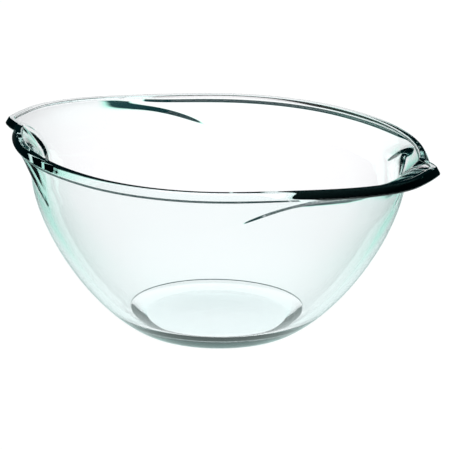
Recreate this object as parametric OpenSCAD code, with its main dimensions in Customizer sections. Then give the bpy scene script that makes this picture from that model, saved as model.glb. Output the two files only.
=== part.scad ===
// Glass mixing bowl, pressed in one piece, with two swirl lugs on the rim.
// Origin at the centre of the foot's underside, lugs along X, +Z up, millimetres.

/* [Bowl] */
// Radius of the plain round rim, at the lower edge of its band's face
rim_r = 116.2; // [100:0.1:135]
// Height from the table to the top of the rim
bowl_h = 118.5; // [100:0.5:140]
// Radius of the foot that the bowl stands on
foot_r = 44; // [36:0.5:50]
// How far below the rim's top the outer wall becomes upright
shoulder_drop = 20.5; // [14:0.5:28]

/* [Glass] */
// Thickness of the upright wall under the rim
wall_t = 4.8; // [4:0.1:6]
// Thickness of the wall just above the foot
low_wall_t = 5.4; // [4:0.1:7]
// Thickness of the floor
floor_t = 10.5; // [7:0.5:12]
// Extra thickness of the wall at the heel, where it runs into the floor
heel_t = 3; // [1:0.1:4]
// Height over which the heel thins out to the wall
heel_h = 14; // [10:0.5:20]
// Height of the fine step between the wall and the floor inside
floor_step = 1; // [0.6:0.1:1.5]
// Length of the roundings at the step
floor_round = 0.4; // [0.1:0.1:0.6]
// Depth of the hollow under the floor, inside the foot
hollow_d = 0.5; // [0.3:0.1:2]
// Width of the ring of the foot that touches the table
foot_ring_w = 4; // [3:0.5:8]

/* [Rim band] */
// Height of the face of the band round the rim
band_h = 4.1; // [3.5:0.1:6]
// How far the face's lower edge stands out from the wall, over an underside that slopes by as much
band_lip = 1.7; // [0.8:0.1:2]
// How far the face leans in from its lower edge to its top
band_lean = 2.4; // [0.8:0.1:3]
// How far the rim's inner edge lies below its top
inner_edge_drop = 1.5; // [1:0.1:2]

/* [Lugs] */
// How far a lug reaches out past the round rim
lug_reach = 26.5; // [16:0.5:32]
// Fall of a lug's top from its edge to the bowl's wall
lug_fall = 2.5; // [1.5:0.1:4]
// Depth below the rim at which the swirl's crease runs out into the wall
swirl_depth = 28.5; // [22:0.5:34]
// How much deeper the crease dips just past a lug's sharp end
valley_depth = 12; // [6:0.5:14]
// Length of the rounding at each side of the crease
crease_round = 5; // [3:0.5:6]
// Length of the rounding where the wall flows up into a lug's spout
spout_round = 26; // [12:0.5:28]
// How far the glass over the swirl stands out from the wall under it, outside
crease_step = 3; // [1:0.1:3.5]

/* [Hidden] */

// Angles round the axis, in degrees from the middle of a lug, for one half of the rim
rise_from = -62;
rise_to = -2;
notch_from = 8;
notch_to = 16.5;
tail_to = 75;
// Where the crease leaves the rim on each side of a lug, and the angle that it takes to run out
swirl_from = -19;
swirl_span = 43;
tail_from = 17;
tail_span = 38;
// Share of the lug's reach that is left where the notch ends and the tail starts
tail_share = 0.55;
// Powers that shape the rise, the tail and the wall's curves
rise_power = 1.6;
tail_power = 1.7;
outer_power = 1.52;
outer_root = 0.724;
// Share of the crease's fall that is straight rather than curved
straight_share = 0.2;
// Angles over which a lug's spout comes and goes
spout_from = -36;
spout_full = -12;
spout_end = 9;
spout_gone = 16;
// Angle at which the dip in the crease past the lug's sharp end is over
valley_to = 32;
// Shares of the crease's run over which its step grows near the lug and sinks at the far end
near_share = 0.5;
far_share = 0.55;
// Height over which the step comes, as a share of the full step
step_share = 1.2;
// Share of the band's lip that is rounded at its edges
lip_share = 0.33;
// How far the step round the floor leans out, as a share of its height
step_lean_share = 0.2;
// Most of a lug's face that the rounding at the crease may take
face_share = 0.9;
// Share of the rim's top that is rounded at each edge
top_share = 0.25;
// Most of a side that the rounding of a corner may take
side_share = 0.49;

// Steps between the angles above, and points on each stretch of the section
rise_steps = 18;
lug_steps = 3;
notch_steps = 9;
tail_steps = 18;
plain_steps = 10;
hollow_steps = 3;
outer_steps = 11;
inner_steps = 9;
corner_steps = 5;
edge_steps = 3;
// Tries at the point across the glass from a height inside
across_tries = 3;
// Power that brings the wall's points closer together near the foot and the floor
spread_power = 1.5;

// Lengths that follow from the sizes above
wall_r = rim_r - band_lip;
inner_r = wall_r - wall_t;
top_r = rim_r - band_lean;
shoulder_h = bowl_h - shoulder_drop;
floor_h = floor_t + hollow_d;
lip_z = bowl_h - band_h;
under_z = lip_z - band_lip;
inner_edge_z = bowl_h - inner_edge_drop;
hollow_r = foot_r - foot_ring_w;
lip_round = band_lip * lip_share;
top_round = (top_r - inner_r) * top_share;

function clamp01(x) = min(max(x, 0), 1);
function ease(x) = let (t = clamp01(x)) t * t * (3 - 2 * t);
function mix(a, b, t) = a + (b - a) * t;

// Radius of the outside of the turned wall at a height, and the angle by which the wall leans out there
function wall_out(z) = foot_r + (wall_r - foot_r)
    * pow(1 - pow(1 - clamp01(z / shoulder_h), outer_power), outer_root);
function wall_lean(z) = let (u = 1 - clamp01(z / shoulder_h))
    atan((wall_r - foot_r) / shoulder_h * outer_power * outer_root
        * pow(u, outer_power - 1) * pow(1 - pow(u, outer_power), outer_root - 1));

// Radius of the inside of the wall at a height, as far in as the glass is thick, square to the outside
function thickness(z) = mix(low_wall_t, wall_t, clamp01(z / shoulder_h))
    + heel_t * pow(clamp01(1 - z / heel_h), 2);
function across(z, guess, tries) = tries == 0 ? guess
    : across(z, z - thickness(guess) * sin(wall_lean(guess)), tries - 1);
function wall_in(z) = let (guess = across(z, z, across_tries), t = thickness(guess), lean = wall_lean(guess))
    wall_out(z - t * sin(lean)) - t * cos(lean);
function wall(inside, z) = inside ? wall_in(z) : wall_out(z);

// A lug's outline as a share of its reach, at an angle from -90 to 90
function lug_rise(a) = (1 - cos(180 * pow(clamp01((a - rise_from) / (rise_to - rise_from)), rise_power))) / 2;
function lug_tail(a) = tail_share * pow(clamp01((tail_to - a) / (tail_to - notch_to)), tail_power);
function lug(a) = a < notch_from ? lug_rise(a)
    : mix(1, lug_tail(max(a, notch_to)), ease((a - notch_from) / (notch_to - notch_from)));

// How far below the rim the crease lies inside and outside, at an angle from -90 to 90
function crease_run(a) = clamp01(a < 0 ? (swirl_from - a) / swirl_span : (a - tail_from) / tail_span);
function valley(a) = valley_depth * ease((a - spout_end) / (spout_gone - spout_end))
    * ease((valley_to - a) / (valley_to - notch_to));
function crease_in(a) = let (t = crease_run(a), least = inner_edge_drop + lug_fall)
    least + (swirl_depth - least) * (straight_share * t + (1 - straight_share) * t * t) + valley(a);
function crease_out(a) = max(bowl_h - under_z + lug_fall / 2,
    crease_in(a) + wall_t * tan(atan2(lug_reach * lug(a), crease_in(a)) / 2));

// How much of the spout's long rounding, and of the crease's step, there is at an angle
function spout(a) = ease(a < spout_full ? (a - spout_from) / (spout_full - spout_from)
    : (spout_gone - a) / (spout_gone - spout_end));
function step(a) = crease_step * ease(crease_run(a) / near_share) * ease((1 - crease_run(a)) / far_share);

// Points from the wall over the crease and up a lug's face, to just before the edge of the rim
function fold(inside, out, low, edge_z, flow, step) =
    let (far = min(flow / norm([out, edge_z - low]), face_share),
         turn_z = mix(low, edge_z, far))
    concat(
        [for (i = [0 : corner_steps])
            let (t = i / corner_steps,
                 z = (low - flow) * (1 - t) * (1 - t) + low * 2 * t * (1 - t) + turn_z * t * t,
                 above = ease((z - low) / (crease_step * step_share)))
            [wall(inside, z) + far * out * t * t + above * step * (edge_z - z) / (edge_z - low), z]],
        [let (z = mix(turn_z, edge_z, 1 / 2))
            [wall(inside, z) + mix(far, 1, 1 / 2) * out + step * (edge_z - z) / (edge_z - low), z]]);

// A corner rounded by a curve that starts and ends at a length from it, or at a share of each side
function toward(p, q, d, most) = p + (q - p) * min(d / norm(q - p), most);
function rounded(before, p, after, d, n, most = side_share) =
    let (a = toward(p, before, d, most), b = toward(p, after, d, side_share))
    [for (i = [0 : n]) let (t = i / n) a * (1 - t) * (1 - t) + p * 2 * t * (1 - t) + b * t * t];

// The section at an angle, from the hollow under the foot, over the rim, to the edge of the floor
function section(a) =
    let (out = lug_reach * lug(a),
         low_out = bowl_h - crease_out(a),
         low_in = bowl_h - crease_in(a),
         flow = mix(crease_round, spout_round, spout(a)),
         fold_out = fold(false, out, low_out, under_z, flow, step(a)),
         fold_in = fold(true, out, low_in, inner_edge_z, flow, 0),
         under = [wall_r + out, under_z],
         lip = [rim_r + out, lip_z],
         top_out = [top_r + out, bowl_h],
         top_in = [inner_r + out, bowl_h],
         edge_in = [inner_r + out, inner_edge_z],
         n = len(fold_in) - 1,
         step_z = floor_h + floor_step,
         step_top = [wall_in(step_z), step_z],
         step_foot = [wall_in(step_z) - floor_step * step_lean_share, floor_h],
         wall_from = step_z + floor_round,
         wall_to = low_in - flow)
    concat(
        [for (i = [1 : hollow_steps]) let (t = i / hollow_steps)
            [hollow_r * t, hollow_d * pow(1 - t * t, 2)]],
        [for (i = [0 : outer_steps - 1]) let (z = (low_out - flow) * pow(i / outer_steps, spread_power))
            [wall_out(z), z]],
        fold_out,
        rounded(fold_out[n], under, lip, lip_round, 1),
        rounded(under, lip, top_out, lip_round, 1),
        rounded(lip, top_out, top_in, top_round, edge_steps),
        rounded(top_out, top_in, edge_in, top_round, edge_steps),
        rounded(top_in, edge_in, fold_in[n], top_round, 1),
        [for (i = [n : -1 : 0]) fold_in[i]],
        [for (i = [inner_steps - 1 : -1 : 1])
            let (z = mix(wall_from, wall_to, pow(i / inner_steps, spread_power))) [wall_in(z), z]],
        rounded([wall_in(wall_from), wall_from], step_top, step_foot, floor_round, 1, 1),
        rounded(step_top, step_foot, [0, floor_h], floor_round, 1));

// The angles of the sections over one half of the rim, from the start of the rise to just before the next one
function stretch(from, to, n) = [for (i = [0 : n - 1]) mix(from, to, i / n)];
half_angles = concat(
    stretch(rise_from, rise_to, rise_steps),
    stretch(rise_to, notch_from, lug_steps),
    stretch(notch_from, notch_to, notch_steps),
    stretch(notch_to, tail_to, tail_steps),
    stretch(tail_to, rise_from + 180, plain_steps));
half_sections = [for (a = half_angles) section(a > 90 ? a - 180 : a)];

// The whole bowl: sections side by side round the axis, closed by the hollow under the foot and by the floor
module pressed_glass() {
    n = len(half_angles);
    m = len(half_sections[0]);
    points = concat([for (side = [0, 1], i = [0 : n - 1], p = half_sections[i])
        let (a = half_angles[i] + 180 * side) [p.x * cos(a), p.x * sin(a), p.y]],
        [[0, 0, hollow_d], [0, 0, floor_h]]);
    under_middle = len(points) - 2;
    floor_middle = len(points) - 1;
    walls = [for (i = [0 : 2 * n - 1], j = [0 : m - 2])
        let (here = i * m, next = (i + 1) % (2 * n) * m)
        each [[here + j, here + j + 1, next + j + 1], [here + j, next + j + 1, next + j]]];
    caps = [for (i = [0 : 2 * n - 1])
        let (here = i * m, next = (i + 1) % (2 * n) * m)
        each [[under_middle, here, next], [floor_middle, next + m - 1, here + m - 1]]];
    polyhedron(points = points, faces = concat(walls, caps));
}

module bowl() {
    color([0.78, 0.92, 0.90, 0.5]) pressed_glass();
}

bowl();
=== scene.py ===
from math import cos, pi, radians, sin

import bpy
import numpy as np
from mathutils import Matrix, Vector


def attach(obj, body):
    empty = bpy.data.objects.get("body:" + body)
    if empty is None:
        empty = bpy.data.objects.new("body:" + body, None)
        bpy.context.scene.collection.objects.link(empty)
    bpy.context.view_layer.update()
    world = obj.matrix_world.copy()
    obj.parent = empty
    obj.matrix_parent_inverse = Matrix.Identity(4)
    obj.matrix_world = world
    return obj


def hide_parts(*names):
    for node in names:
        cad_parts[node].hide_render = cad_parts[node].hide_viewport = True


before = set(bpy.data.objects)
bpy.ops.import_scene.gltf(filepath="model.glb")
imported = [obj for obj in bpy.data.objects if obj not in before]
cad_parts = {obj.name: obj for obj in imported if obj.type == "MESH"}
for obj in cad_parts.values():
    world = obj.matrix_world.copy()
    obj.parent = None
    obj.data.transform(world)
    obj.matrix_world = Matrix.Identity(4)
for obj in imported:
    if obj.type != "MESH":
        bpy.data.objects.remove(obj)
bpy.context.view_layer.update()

# The foot, the floor and the wall: clear borosilicate glass, pressed between an iron mould and a plunger.
# The bowl stands on a flat ring round a shallow hollow. The wall thickens at the heel, and where it ends
# inside, a fine step runs round the floor.
MM = 0.001
bowl_h = 118.5 * MM
foot_r = 44 * MM
foot_ring_w = 4 * MM
hollow_d = 0.5 * MM
floor_t = 10.5 * MM
floor_step = 1.0 * MM
floor_round = 0.4 * MM
heel_t = 3 * MM
heel_h = 14 * MM
wall_r = 114.5 * MM
wall_t = 4.8 * MM
low_wall_t = 5.4 * MM
shoulder_drop = 20.5 * MM

# Powers of the wall's curve, how far the floor's step leans, how much of a small edge is rounded, and tries
# at the point across the glass
outer_power, outer_root = 1.52, 0.724
step_lean_share, corner_share = 0.2, 1 / 3
across_tries = 3

shoulder_h = bowl_h - shoulder_drop
floor_h = floor_t + hollow_d
hollow_r = foot_r - foot_ring_w
foot_round = hollow_d * corner_share
inner_r = wall_r - wall_t


def clamp01(x):
    return np.clip(x, 0, 1)


def ease(t):
    """0 up to 0, 1 from 1 on, and smooth between."""
    return clamp01(t) ** 2 * (3 - 2 * clamp01(t))


def wall_out(z):
    """Radius of the outside of the turned wall at a height."""
    return foot_r + (wall_r - foot_r) * (1 - (1 - clamp01(z / shoulder_h)) ** outer_power) ** outer_root


def wall_lean(z):
    """Angle by which the wall leans out at a height outside."""
    u = 1 - clamp01(z / shoulder_h)
    steep = outer_power * outer_root * u ** (outer_power - 1) * (1 - u ** outer_power) ** (outer_root - 1)
    return np.arctan((wall_r - foot_r) / shoulder_h * steep)


def thickness(z):
    """Thickness of the glass, square to the outside, at a height there."""
    even = low_wall_t + (wall_t - low_wall_t) * clamp01(z / shoulder_h)
    return even + heel_t * clamp01(1 - z / heel_h) ** 2


def wall_in(z):
    """Radius of the inside of the wall at a height, as far in as the glass is thick."""
    across = z
    for _ in range(across_tries):
        across = z - thickness(across) * np.sin(wall_lean(across))
    thick, lean = thickness(across), wall_lean(across)
    return wall_out(z - thick * np.sin(lean)) - thick * np.cos(lean)


# The rim and its two lugs: the same glass, drawn out by the mould past the round rim to hold or pour by.
# A lug rises slowly from one side and ends sharply at the other, and its crease swirls down the wall.
rim_r = 116.2 * MM
band_h = 4.1 * MM
band_lean = 2.4 * MM
inner_edge_drop = 1.5 * MM
lug_reach = 26.5 * MM
lug_fall = 2.5 * MM
swirl_depth = 28.5 * MM
valley_depth = 12 * MM
crease_round = 5 * MM
spout_round = 26 * MM
crease_step = 3 * MM

# Angles from the middle of a lug, in degrees: its rise, its sharp end, its tail, its creases and its spout
rise_from, rise_to, notch_from, notch_to, tail_to = -62, -2, 8, 16.5, 75
swirl_from, swirl_span, tail_from, tail_span = -19, 43, 17, 38
spout_from, spout_full, spout_end, spout_gone, valley_to = -36, -12, 9, 16, 32

# The rise and the tail, then the crease's fall and its step, then the roundings
rise_power, tail_power, tail_share = 1.6, 1.7, 0.55
straight_share, near_share, far_share, step_share = 0.2, 0.5, 0.55, 1.2
face_share, top_share, side_share = 0.9, 0.25, 0.49

band_lip = rim_r - wall_r
top_r = rim_r - band_lean
lip_z = bowl_h - band_h
under_z = lip_z - band_lip
inner_edge_z = bowl_h - inner_edge_drop
lip_round = band_lip * corner_share
top_round = (top_r - inner_r) * top_share

# Rows of points round a crease, and up a lug's face or round an edge
fold_rows, edge_rows = 18, 5


def lug(a):
    """A lug's outline as a share of its reach."""
    rise = (1 - np.cos(pi * clamp01((a - rise_from) / (rise_to - rise_from)) ** rise_power)) / 2
    tail = tail_share * clamp01((tail_to - np.maximum(a, notch_to)) / (tail_to - notch_to)) ** tail_power
    return np.where(a < notch_from, rise, 1 + (tail - 1) * ease((a - notch_from) / (notch_to - notch_from)))


def crease_run(a):
    """Share of the way from the lug along the crease to its far end."""
    return clamp01(np.where(a < 0, (swirl_from - a) / swirl_span, (a - tail_from) / tail_span))


def crease_in(a):
    """How far below the rim the crease lies inside, with a dip just past the lug's sharp end."""
    t = crease_run(a)
    least = inner_edge_drop + lug_fall
    fall = (swirl_depth - least) * (straight_share * t + (1 - straight_share) * t * t)
    dip = ease((a - spout_end) / (spout_gone - spout_end)) * ease((valley_to - a) / (valley_to - notch_to))
    return least + fall + valley_depth * dip


def crease_out(a):
    """How far below the rim the crease lies outside."""
    lean = np.arctan2(lug_reach * lug(a), crease_in(a))
    return np.maximum(bowl_h - under_z + lug_fall / 2, crease_in(a) + wall_t * np.tan(lean / 2))


def spout(a):
    """How far the wall flows up into the lug without a crease."""
    share = np.where(a < spout_full, (a - spout_from) / (spout_full - spout_from),
                     (spout_gone - a) / (spout_gone - spout_end))
    return ease(share)


def fold(wall, out, low, edge_z, flow, step):
    """Points from the wall over the crease and up the lug's face, with the step above the crease."""
    far = np.minimum(flow / np.hypot(out, edge_z - low), face_share)
    turn_z = low + far * (edge_z - low)
    points = []
    for t in np.linspace(0, 1, fold_rows + 1):
        z = (low - flow) * (1 - t) ** 2 + low * 2 * t * (1 - t) + turn_z * t * t
        above = ease((z - low) / (crease_step * step_share))
        r = wall(z) + far * out * t * t + above * step * (edge_z - z) / (edge_z - low)
        points.append(np.stack([r, z], -1))
    for t in np.linspace(0, 1, edge_rows + 2)[1:-1]:
        z = turn_z + (edge_z - turn_z) * t
        r = wall(z) + (far + (1 - far) * t) * out + step * (edge_z - z) / (edge_z - low)
        points.append(np.stack([r, z], -1))
    return points


def rounded(before, p, after, d, n=edge_rows, most=side_share):
    """Points of a corner rounded from a length before it to a length after it, or a share of each side."""
    a = p + (before - p) * np.minimum(d / np.linalg.norm(before - p, axis=-1, keepdims=True), most)
    b = p + (after - p) * np.minimum(d / np.linalg.norm(after - p, axis=-1, keepdims=True), side_share)
    return [a * (1 - t) ** 2 + p * 2 * t * (1 - t) + b * t * t for t in np.linspace(0, 1, n + 1)]


# The pressed piece: the mould has the same swirl twice, half a turn apart, and is filled in one shot.
# One half is laid out as sections side by side. Geometry Nodes turn a copy of it and weld the two together.
half_columns, wall_rows, hollow_rows, foot_rows, floor_rows = 300, 30, 9, 3, 4
weld_gap = 0.001 * MM

# Brings the wall's rows closer together near the foot and the floor
spread_power = 1.5


def section_rows(a):
    """Rows of points from the hollow under the foot, over the rim, to the middle of the floor."""

    def ring(r, z):
        """A row at a radius and a height, with one point for each angle."""
        return np.stack([r + 0 * a, z + 0 * a], -1)

    out = lug_reach * lug(a)
    low_out, low_in = bowl_h - crease_out(a), bowl_h - crease_in(a)
    flow = crease_round + (spout_round - crease_round) * spout(a)
    step = crease_step * ease(crease_run(a) / near_share) * ease((1 - crease_run(a)) / far_share)
    fold_out = fold(wall_out, out, low_out, under_z, flow, step)
    fold_in = fold(wall_in, out, low_in, inner_edge_z, flow, 0)[::-1]
    under, lip = ring(wall_r + out, under_z), ring(rim_r + out, lip_z)
    top_out, top_in = ring(top_r + out, bowl_h), ring(inner_r + out, bowl_h)
    edge_in = ring(inner_r + out, inner_edge_z)

    foot_edge, above_foot = ring(foot_r, 0), ring(wall_out(np.array(hollow_d)), hollow_d)
    step_z = floor_h + floor_step
    wall_from = step_z + floor_round
    step_r = wall_in(np.array(step_z))
    floor_r = step_r - floor_step * step_lean_share
    above_step = ring(wall_in(np.array(wall_from)), wall_from)
    step_edge, floor_edge = ring(step_r, step_z), ring(floor_r, floor_h)

    # The foot's edge takes the place of the outer wall's first two rows
    spread = (np.arange(wall_rows) / wall_rows) ** spread_power
    rows = [ring(hollow_r * t, hollow_d * (1 - t * t) ** 2) for t in np.linspace(0, 1, hollow_rows + 1)]
    rows += rounded(ring(hollow_r, 0), foot_edge, above_foot, foot_round, foot_rows)
    rows += [ring(wall_out((low_out - flow) * t), (low_out - flow) * t) for t in spread[2:]]
    rows += fold_out
    rows += rounded(fold_out[-1], under, lip, lip_round)
    rows += rounded(under, lip, top_out, lip_round)
    rows += rounded(lip, top_out, top_in, top_round)
    rows += rounded(top_out, top_in, edge_in, top_round)
    rows += rounded(top_in, edge_in, fold_in[0], top_round)
    rows += fold_in
    for t in spread[:0:-1]:
        z = wall_from + (low_in - flow - wall_from) * t
        rows.append(ring(wall_in(z), z))
    rows += rounded(above_step, step_edge, floor_edge, floor_round, most=1)
    rows += rounded(step_edge, floor_edge, ring(0, floor_h), floor_round)
    rows += [ring((floor_r - floor_round) * t, floor_h) for t in np.linspace(1, 0, floor_rows + 1)[1:]]
    return rows


def half_mesh():
    """Half the bowl, with faces of three corners round the middles of the hollow and the floor."""
    a = np.linspace(-90, 90, half_columns + 1)
    rows = section_rows(a)
    r, z = np.array(rows).transpose(2, 0, 1)
    points = np.stack([r * np.cos(np.radians(a)), r * np.sin(np.radians(a)), z], -1).reshape(-1, 3)
    last = len(rows) - 2
    faces = []
    for row in range(last + 1):
        for here in range(row * len(a), row * len(a) + half_columns):
            above = here + len(a)
            face = [here, here + 1, above + 1, above]
            if row == 0:
                face.remove(here + 1)
            elif row == last:
                face.remove(above)
            faces.append(face)
    mesh = bpy.data.meshes.new("half_bowl")
    mesh.from_pydata(points.tolist(), [], faces)
    return mesh


def add(tree, kind, inputs=(), **settings):
    """Adds a node with its settings, and a value, a socket or a node's first output for each input."""
    node = tree.nodes.new(kind)
    for name, value in settings.items():
        setattr(node, name, value)
    for name, value in dict(inputs).items():
        if isinstance(value, bpy.types.Node):
            value = value.outputs[0]
        if isinstance(value, bpy.types.NodeSocket):
            tree.links.new(value, node.inputs[name])
        else:
            node.inputs[name].default_value = value
    return node


def linear(hex_colour, strength=1.0):
    """An sRGB hex colour as linear RGBA, made stronger or weaker."""
    parts = [int(hex_colour[i:i + 2], 16) / 255 for i in (1, 3, 5)]
    return [strength * (p / 12.92 if p <= 0.04045 else ((p + 0.055) / 1.055) ** 2.4) for p in parts] + [1]


# Clear glass bends what is behind it, and the tint deepens to teal where light runs far inside it, so the
# edges, creases and lugs draw themselves. Pressing leaves slow waves, 35 mm long and 0.02 mm high.
wave_l, wave_h = 35 * MM, 0.02 * MM
glass = bpy.data.materials.new("borosilicate_glass")
glass.use_nodes = True
tree = glass.node_tree
tree.nodes.clear()
spot = add(tree, "ShaderNodeTexCoord").outputs["Object"]
waves = add(tree, "ShaderNodeTexNoise", {"Vector": spot, "Scale": 1 / wave_l, "Detail": 0.0})
bump = add(tree, "ShaderNodeBump", {"Height": waves, "Strength": 1.0, "Distance": wave_h})
clear = add(tree, "ShaderNodeBsdfPrincipled", {
    "Normal": bump, "Base Color": linear("#ffffff"), "IOR": 1.474, "Roughness": 0.0,
    "Transmission Weight": 1.0})
tint = add(tree, "ShaderNodeVolumeAbsorption", {"Color": linear("#b0ebe6"), "Density": 24.0})
add(tree, "ShaderNodeOutputMaterial", {"Surface": clear, "Volume": tint})

tree = bpy.data.node_groups.new("pressed_twice", "GeometryNodeTree")
tree.interface.new_socket("Half", in_out="INPUT", socket_type="NodeSocketGeometry")
for name, kind in (("Halves", "Int"), ("Turn", "Float"), ("Weld Distance", "Float"), ("Glass", "Material")):
    tree.interface.new_socket(name, in_out="INPUT", socket_type="NodeSocket" + kind)
tree.interface.new_socket("Bowl", in_out="OUTPUT", socket_type="NodeSocketGeometry")
given = add(tree, "NodeGroupInput").outputs
places = add(tree, "GeometryNodePoints", {"Count": given["Halves"]})
index = add(tree, "GeometryNodeInputIndex")
angle = add(tree, "ShaderNodeMath", {0: index, 1: given["Turn"]}, operation="MULTIPLY")
turn = add(tree, "ShaderNodeCombineXYZ", {"Z": angle})
copies = add(tree, "GeometryNodeInstanceOnPoints", {
    "Points": places, "Instance": given["Half"], "Rotation": turn})
real = add(tree, "GeometryNodeRealizeInstances", {"Geometry": copies})
welded = add(tree, "GeometryNodeMergeByDistance", {"Geometry": real, "Distance": given["Weld Distance"]})
smooth = add(tree, "GeometryNodeSetShadeSmooth", {0: welded})
filled = add(tree, "GeometryNodeSetMaterial", {"Geometry": smooth, "Material": given["Glass"]})
add(tree, "NodeGroupOutput", {"Bowl": filled})

bowl = bpy.data.objects.new("glass_bowl", half_mesh())
bpy.context.scene.collection.objects.link(bowl)
press = bowl.modifiers.new("pressed_twice", "NODES")
press.node_group = tree
wanted = {"Halves": 2, "Turn": pi, "Weld Distance": weld_gap, "Glass": glass}
for socket in tree.interface.items_tree:
    if socket.name in wanted:
        press[socket.identifier] = wanted[socket.name]
bpy.context.view_layer.update()
pressed = bpy.data.meshes.new_from_object(bowl.evaluated_get(bpy.context.evaluated_depsgraph_get()))
bowl.modifiers.remove(press)
bowl.data = pressed
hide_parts("bowl")
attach(bowl, "root")

# The table: white paper with painted light below the bowl, where the bowl hides it from the lens, and in
# front and to the sides.
# Light that the glass bends aside comes from painted mint light and painted dark shade on the paper between,
# and draws the lines and edges.
view_azimuth = radians(30)
half_side, table_gap = 6.0, 0.05 * MM

# The painted lit shape behind the bowl, in metres: its middle, and its reach from there nearer and farther
# off. Its half width grows over a stretch farther off, and it fades between two shares of its reach.
lit_middle, lit_near, lit_far = 0.36, 0.42, 0.30
widen_from, widen_to = 0.27, 1.27
half_width_from, half_width_to = 0.145, 0.400
fade_from_share, fade_to_share = 0.97, 1.7

# How steeply the painted light's edges run off beside the bowl, each with its painted light, and how soft
# they are
edge_slopes, edge_soft = ((0.27, 1.0), (1.6, 0.62)), 0.15

# The painted pool of light that shines up through the foot is full to one radius and gone at the next
foot_patch_r, foot_patch_end_r = 56 * MM, 62 * MM

# How brightly the lens sees the paper glow, and the share of what is seen there that is glow, not lamplight
lens_light, own_light_share = 1.08, 0.93

scene = bpy.context.scene
scene.view_settings.view_transform = "Standard"
sheet = bpy.data.meshes.new("table")
corners = [(x * half_side, y * half_side, -table_gap) for x, y in ((-1, -1), (1, -1), (1, 1), (-1, 1))]
sheet.from_pydata(corners, [], [(0, 1, 2, 3)])
table = bpy.data.objects.new("table", sheet)
scene.collection.objects.link(table)

paper = bpy.data.materials.new("white_paper_painted_light")
paper.use_nodes = True
tree = paper.node_tree
tree.nodes.clear()
path = add(tree, "ShaderNodeLightPath").outputs
spot = add(tree, "ShaderNodeTexCoord").outputs["Object"]
aside = add(tree, "ShaderNodeVectorMath", {0: spot, 1: (cos(view_azimuth), sin(view_azimuth), 0)},
            operation="DOT_PRODUCT").outputs["Value"]
behind = add(tree, "ShaderNodeVectorMath", {0: spot, 1: (-sin(view_azimuth), cos(view_azimuth), 0)},
             operation="DOT_PRODUCT").outputs["Value"]

# How far a spot lies from the lit shape's middle, as a share of the shape's reach that way, sets its painted
# light
wider = add(tree, "ShaderNodeMapRange", {"Value": behind, "From Min": widen_from, "From Max": widen_to,
                                         "To Min": half_width_from, "To Max": half_width_to})
across = add(tree, "ShaderNodeMath", {0: aside, 1: wider}, operation="DIVIDE")
along = add(tree, "ShaderNodeMath", {0: behind, 1: lit_middle}, operation="SUBTRACT")
near = add(tree, "ShaderNodeMath", {0: along, 1: 0.0}, operation="MINIMUM")
near = add(tree, "ShaderNodeMath", {0: near, 1: lit_near}, operation="DIVIDE")
far = add(tree, "ShaderNodeMath", {0: along, 1: 0.0}, operation="MAXIMUM")
far = add(tree, "ShaderNodeMath", {0: far, 1: lit_far}, operation="DIVIDE")
reach = add(tree, "ShaderNodeCombineXYZ", {"X": across, "Y": near, "Z": far})
reach = add(tree, "ShaderNodeVectorMath", {0: reach}, operation="LENGTH").outputs["Value"]
lit = add(tree, "ShaderNodeMapRange", {"Value": reach, "From Min": fade_from_share, "From Max": fade_to_share,
                                       "To Min": 1.0, "To Max": 0.0}, interpolation_type="SMOOTHSTEP")
sideways = add(tree, "ShaderNodeMath", {0: aside}, operation="ABSOLUTE")
paper_lit = lit
for slope, level in edge_slopes:
    edge = add(tree, "ShaderNodeMath", {0: sideways, 1: slope}, operation="MULTIPLY")
    edge = add(tree, "ShaderNodeMath", {0: edge, 1: behind}, operation="SUBTRACT")
    beside = add(tree, "ShaderNodeMapRange", {
        "Value": edge, "From Min": 0.0, "From Max": edge_soft,
        "To Min": 0.0, "To Max": level}, interpolation_type="SMOOTHSTEP")
    paper_lit = add(tree, "ShaderNodeMath", {0: paper_lit, 1: beside}, operation="MAXIMUM")
# Painted light on the paper: painted dark teal shade where it is not lit, a painted mint glow between, and
# painted white light in the lit shape
painted_light_ramp = add(tree, "ShaderNodeValToRGB", {0: paper_lit})
painted_light_ramp.color_ramp.elements[0].color = linear("#0c3034")
painted_light_ramp.color_ramp.elements[1].color = linear("#fff9fb", 1.17)
painted_light_ramp.color_ramp.elements.new(0.5).color = linear("#c8fff0", 1.06)
from_middle = add(tree, "ShaderNodeVectorMath", {0: spot}, operation="LENGTH").outputs["Value"]
under_foot = add(tree, "ShaderNodeMapRange", {
    "Value": from_middle, "From Min": foot_patch_r, "From Max": foot_patch_end_r,
    "To Min": 1.0, "To Max": 0.0}, interpolation_type="SMOOTHSTEP")

# Rays through the glass see the painted lit shape and the painted pool of light, mirrored ones a painted
# reflection from dark to pale, and the lens white
through = add(tree, "ShaderNodeMix", {0: under_foot, 6: painted_light_ramp, 7: linear("#fff4f7", 1.52)},
              data_type="RGBA").outputs[2]
painted_reflection = add(tree, "ShaderNodeMix", {0: lit, 6: linear("#192727"), 7: linear("#e7fffc")},
               data_type="RGBA").outputs[2]
shown = add(tree, "ShaderNodeMix", {0: path["Is Reflection Ray"], 6: through, 7: painted_reflection},
            data_type="RGBA").outputs[2]
shown = add(tree, "ShaderNodeMix", {0: path["Is Camera Ray"], 6: shown, 7: linear("#ffffff", lens_light)},
            data_type="RGBA").outputs[2]
glow = add(tree, "ShaderNodeEmission", {"Color": shown, "Strength": 1.0})
matt = add(tree, "ShaderNodeBsdfDiffuse", {"Color": linear("#f4f4f4")})
seen = add(tree, "ShaderNodeMath", {0: path["Is Camera Ray"], 1: path["Is Glossy Ray"]}, operation="ADD")
seen = add(tree, "ShaderNodeMath", {0: seen, 1: path["Is Transmission Ray"]}, operation="ADD")
share = add(tree, "ShaderNodeMath", {0: seen, 1: own_light_share}, operation="MULTIPLY")
mixed = add(tree, "ShaderNodeMixShader", {0: share, 1: matt, 2: glow})
add(tree, "ShaderNodeOutputMaterial", {"Surface": mixed})
sheet.materials.append(paper)

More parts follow.
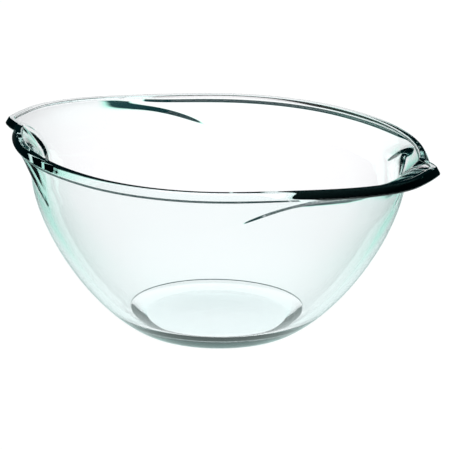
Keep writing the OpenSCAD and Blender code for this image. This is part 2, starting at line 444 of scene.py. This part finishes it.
# The room: a white wall as the lens sees it, and a dim teal one, paler overhead, as the glass sees it.
# A soft lamp overhead lays the bowl's faint shadow on the table.
dim_teal, pale_teal = linear("#072c30"), linear("#619595")
world = bpy.data.worlds.new("studio")
scene.world = world
world.use_nodes = True
tree = world.node_tree
tree.nodes.clear()
path = add(tree, "ShaderNodeLightPath").outputs
spot = add(tree, "ShaderNodeTexCoord").outputs["Generated"]
height = add(tree, "ShaderNodeSeparateXYZ", {0: spot}).outputs["Z"]
ramp = add(tree, "ShaderNodeValToRGB", {0: height})
ramp.color_ramp.elements[0].color = dim_teal
ramp.color_ramp.elements[1].color = pale_teal
ramp.color_ramp.elements.new(0.5).color = dim_teal
ramp.color_ramp.elements.new(0.75).color = pale_teal
room = add(tree, "ShaderNodeBackground", {"Color": ramp, "Strength": 1.0})
wall = add(tree, "ShaderNodeBackground", {"Color": linear("#ffffff"), "Strength": 1.0})
mixed = add(tree, "ShaderNodeMixShader", {0: path["Is Camera Ray"], 1: room, 2: wall})
add(tree, "ShaderNodeOutputWorld", {"Surface": mixed})

softbox = bpy.data.lights.new("overhead_softbox", "AREA")
softbox.shape = "DISK"
softbox.size = 1.2
softbox.energy = 12
lamp = bpy.data.objects.new("overhead_softbox", softbox)
lamp.location = (0.3, 0.2, 1.6)
lamp.rotation_euler = (-lamp.location).to_track_quat("-Z", "Y").to_euler()
lamp.visible_glossy = False
lamp.visible_transmission = False
scene.collection.objects.link(lamp)

# The camera: a long lens, a little above the rim, turned and rolled as the photograph was taken.
# Its place was fitted to the bowl's outline, with the picture's middle off the lens's axis.
picture_px, focal_px, middle_px = 450, 4373, (218.0, 215.5)
distance, look_at_z, elevation, roll = 2.678, 71.2 * MM, radians(16.6), radians(0.81)
lens = bpy.data.cameras.new("camera")
lens.sensor_width = 36
lens.lens = focal_px / picture_px * lens.sensor_width
lens.shift_x = (picture_px / 2 - middle_px[0]) / picture_px
lens.shift_y = (middle_px[1] - picture_px / 2) / picture_px
lens.clip_end = 20
away = Vector((sin(view_azimuth) * cos(elevation), -cos(view_azimuth) * cos(elevation), sin(elevation)))
level = Vector((cos(view_azimuth), sin(view_azimuth), 0))
right = level * cos(roll) + away.cross(level) * sin(roll)
axes = Matrix((right, away.cross(right), away)).transposed().to_4x4()
camera = bpy.data.objects.new("camera", lens)
camera.matrix_world = Matrix.Translation(Vector((0, 0, look_at_z)) + away * distance) @ axes
scene.collection.objects.link(camera)
scene.camera = camera
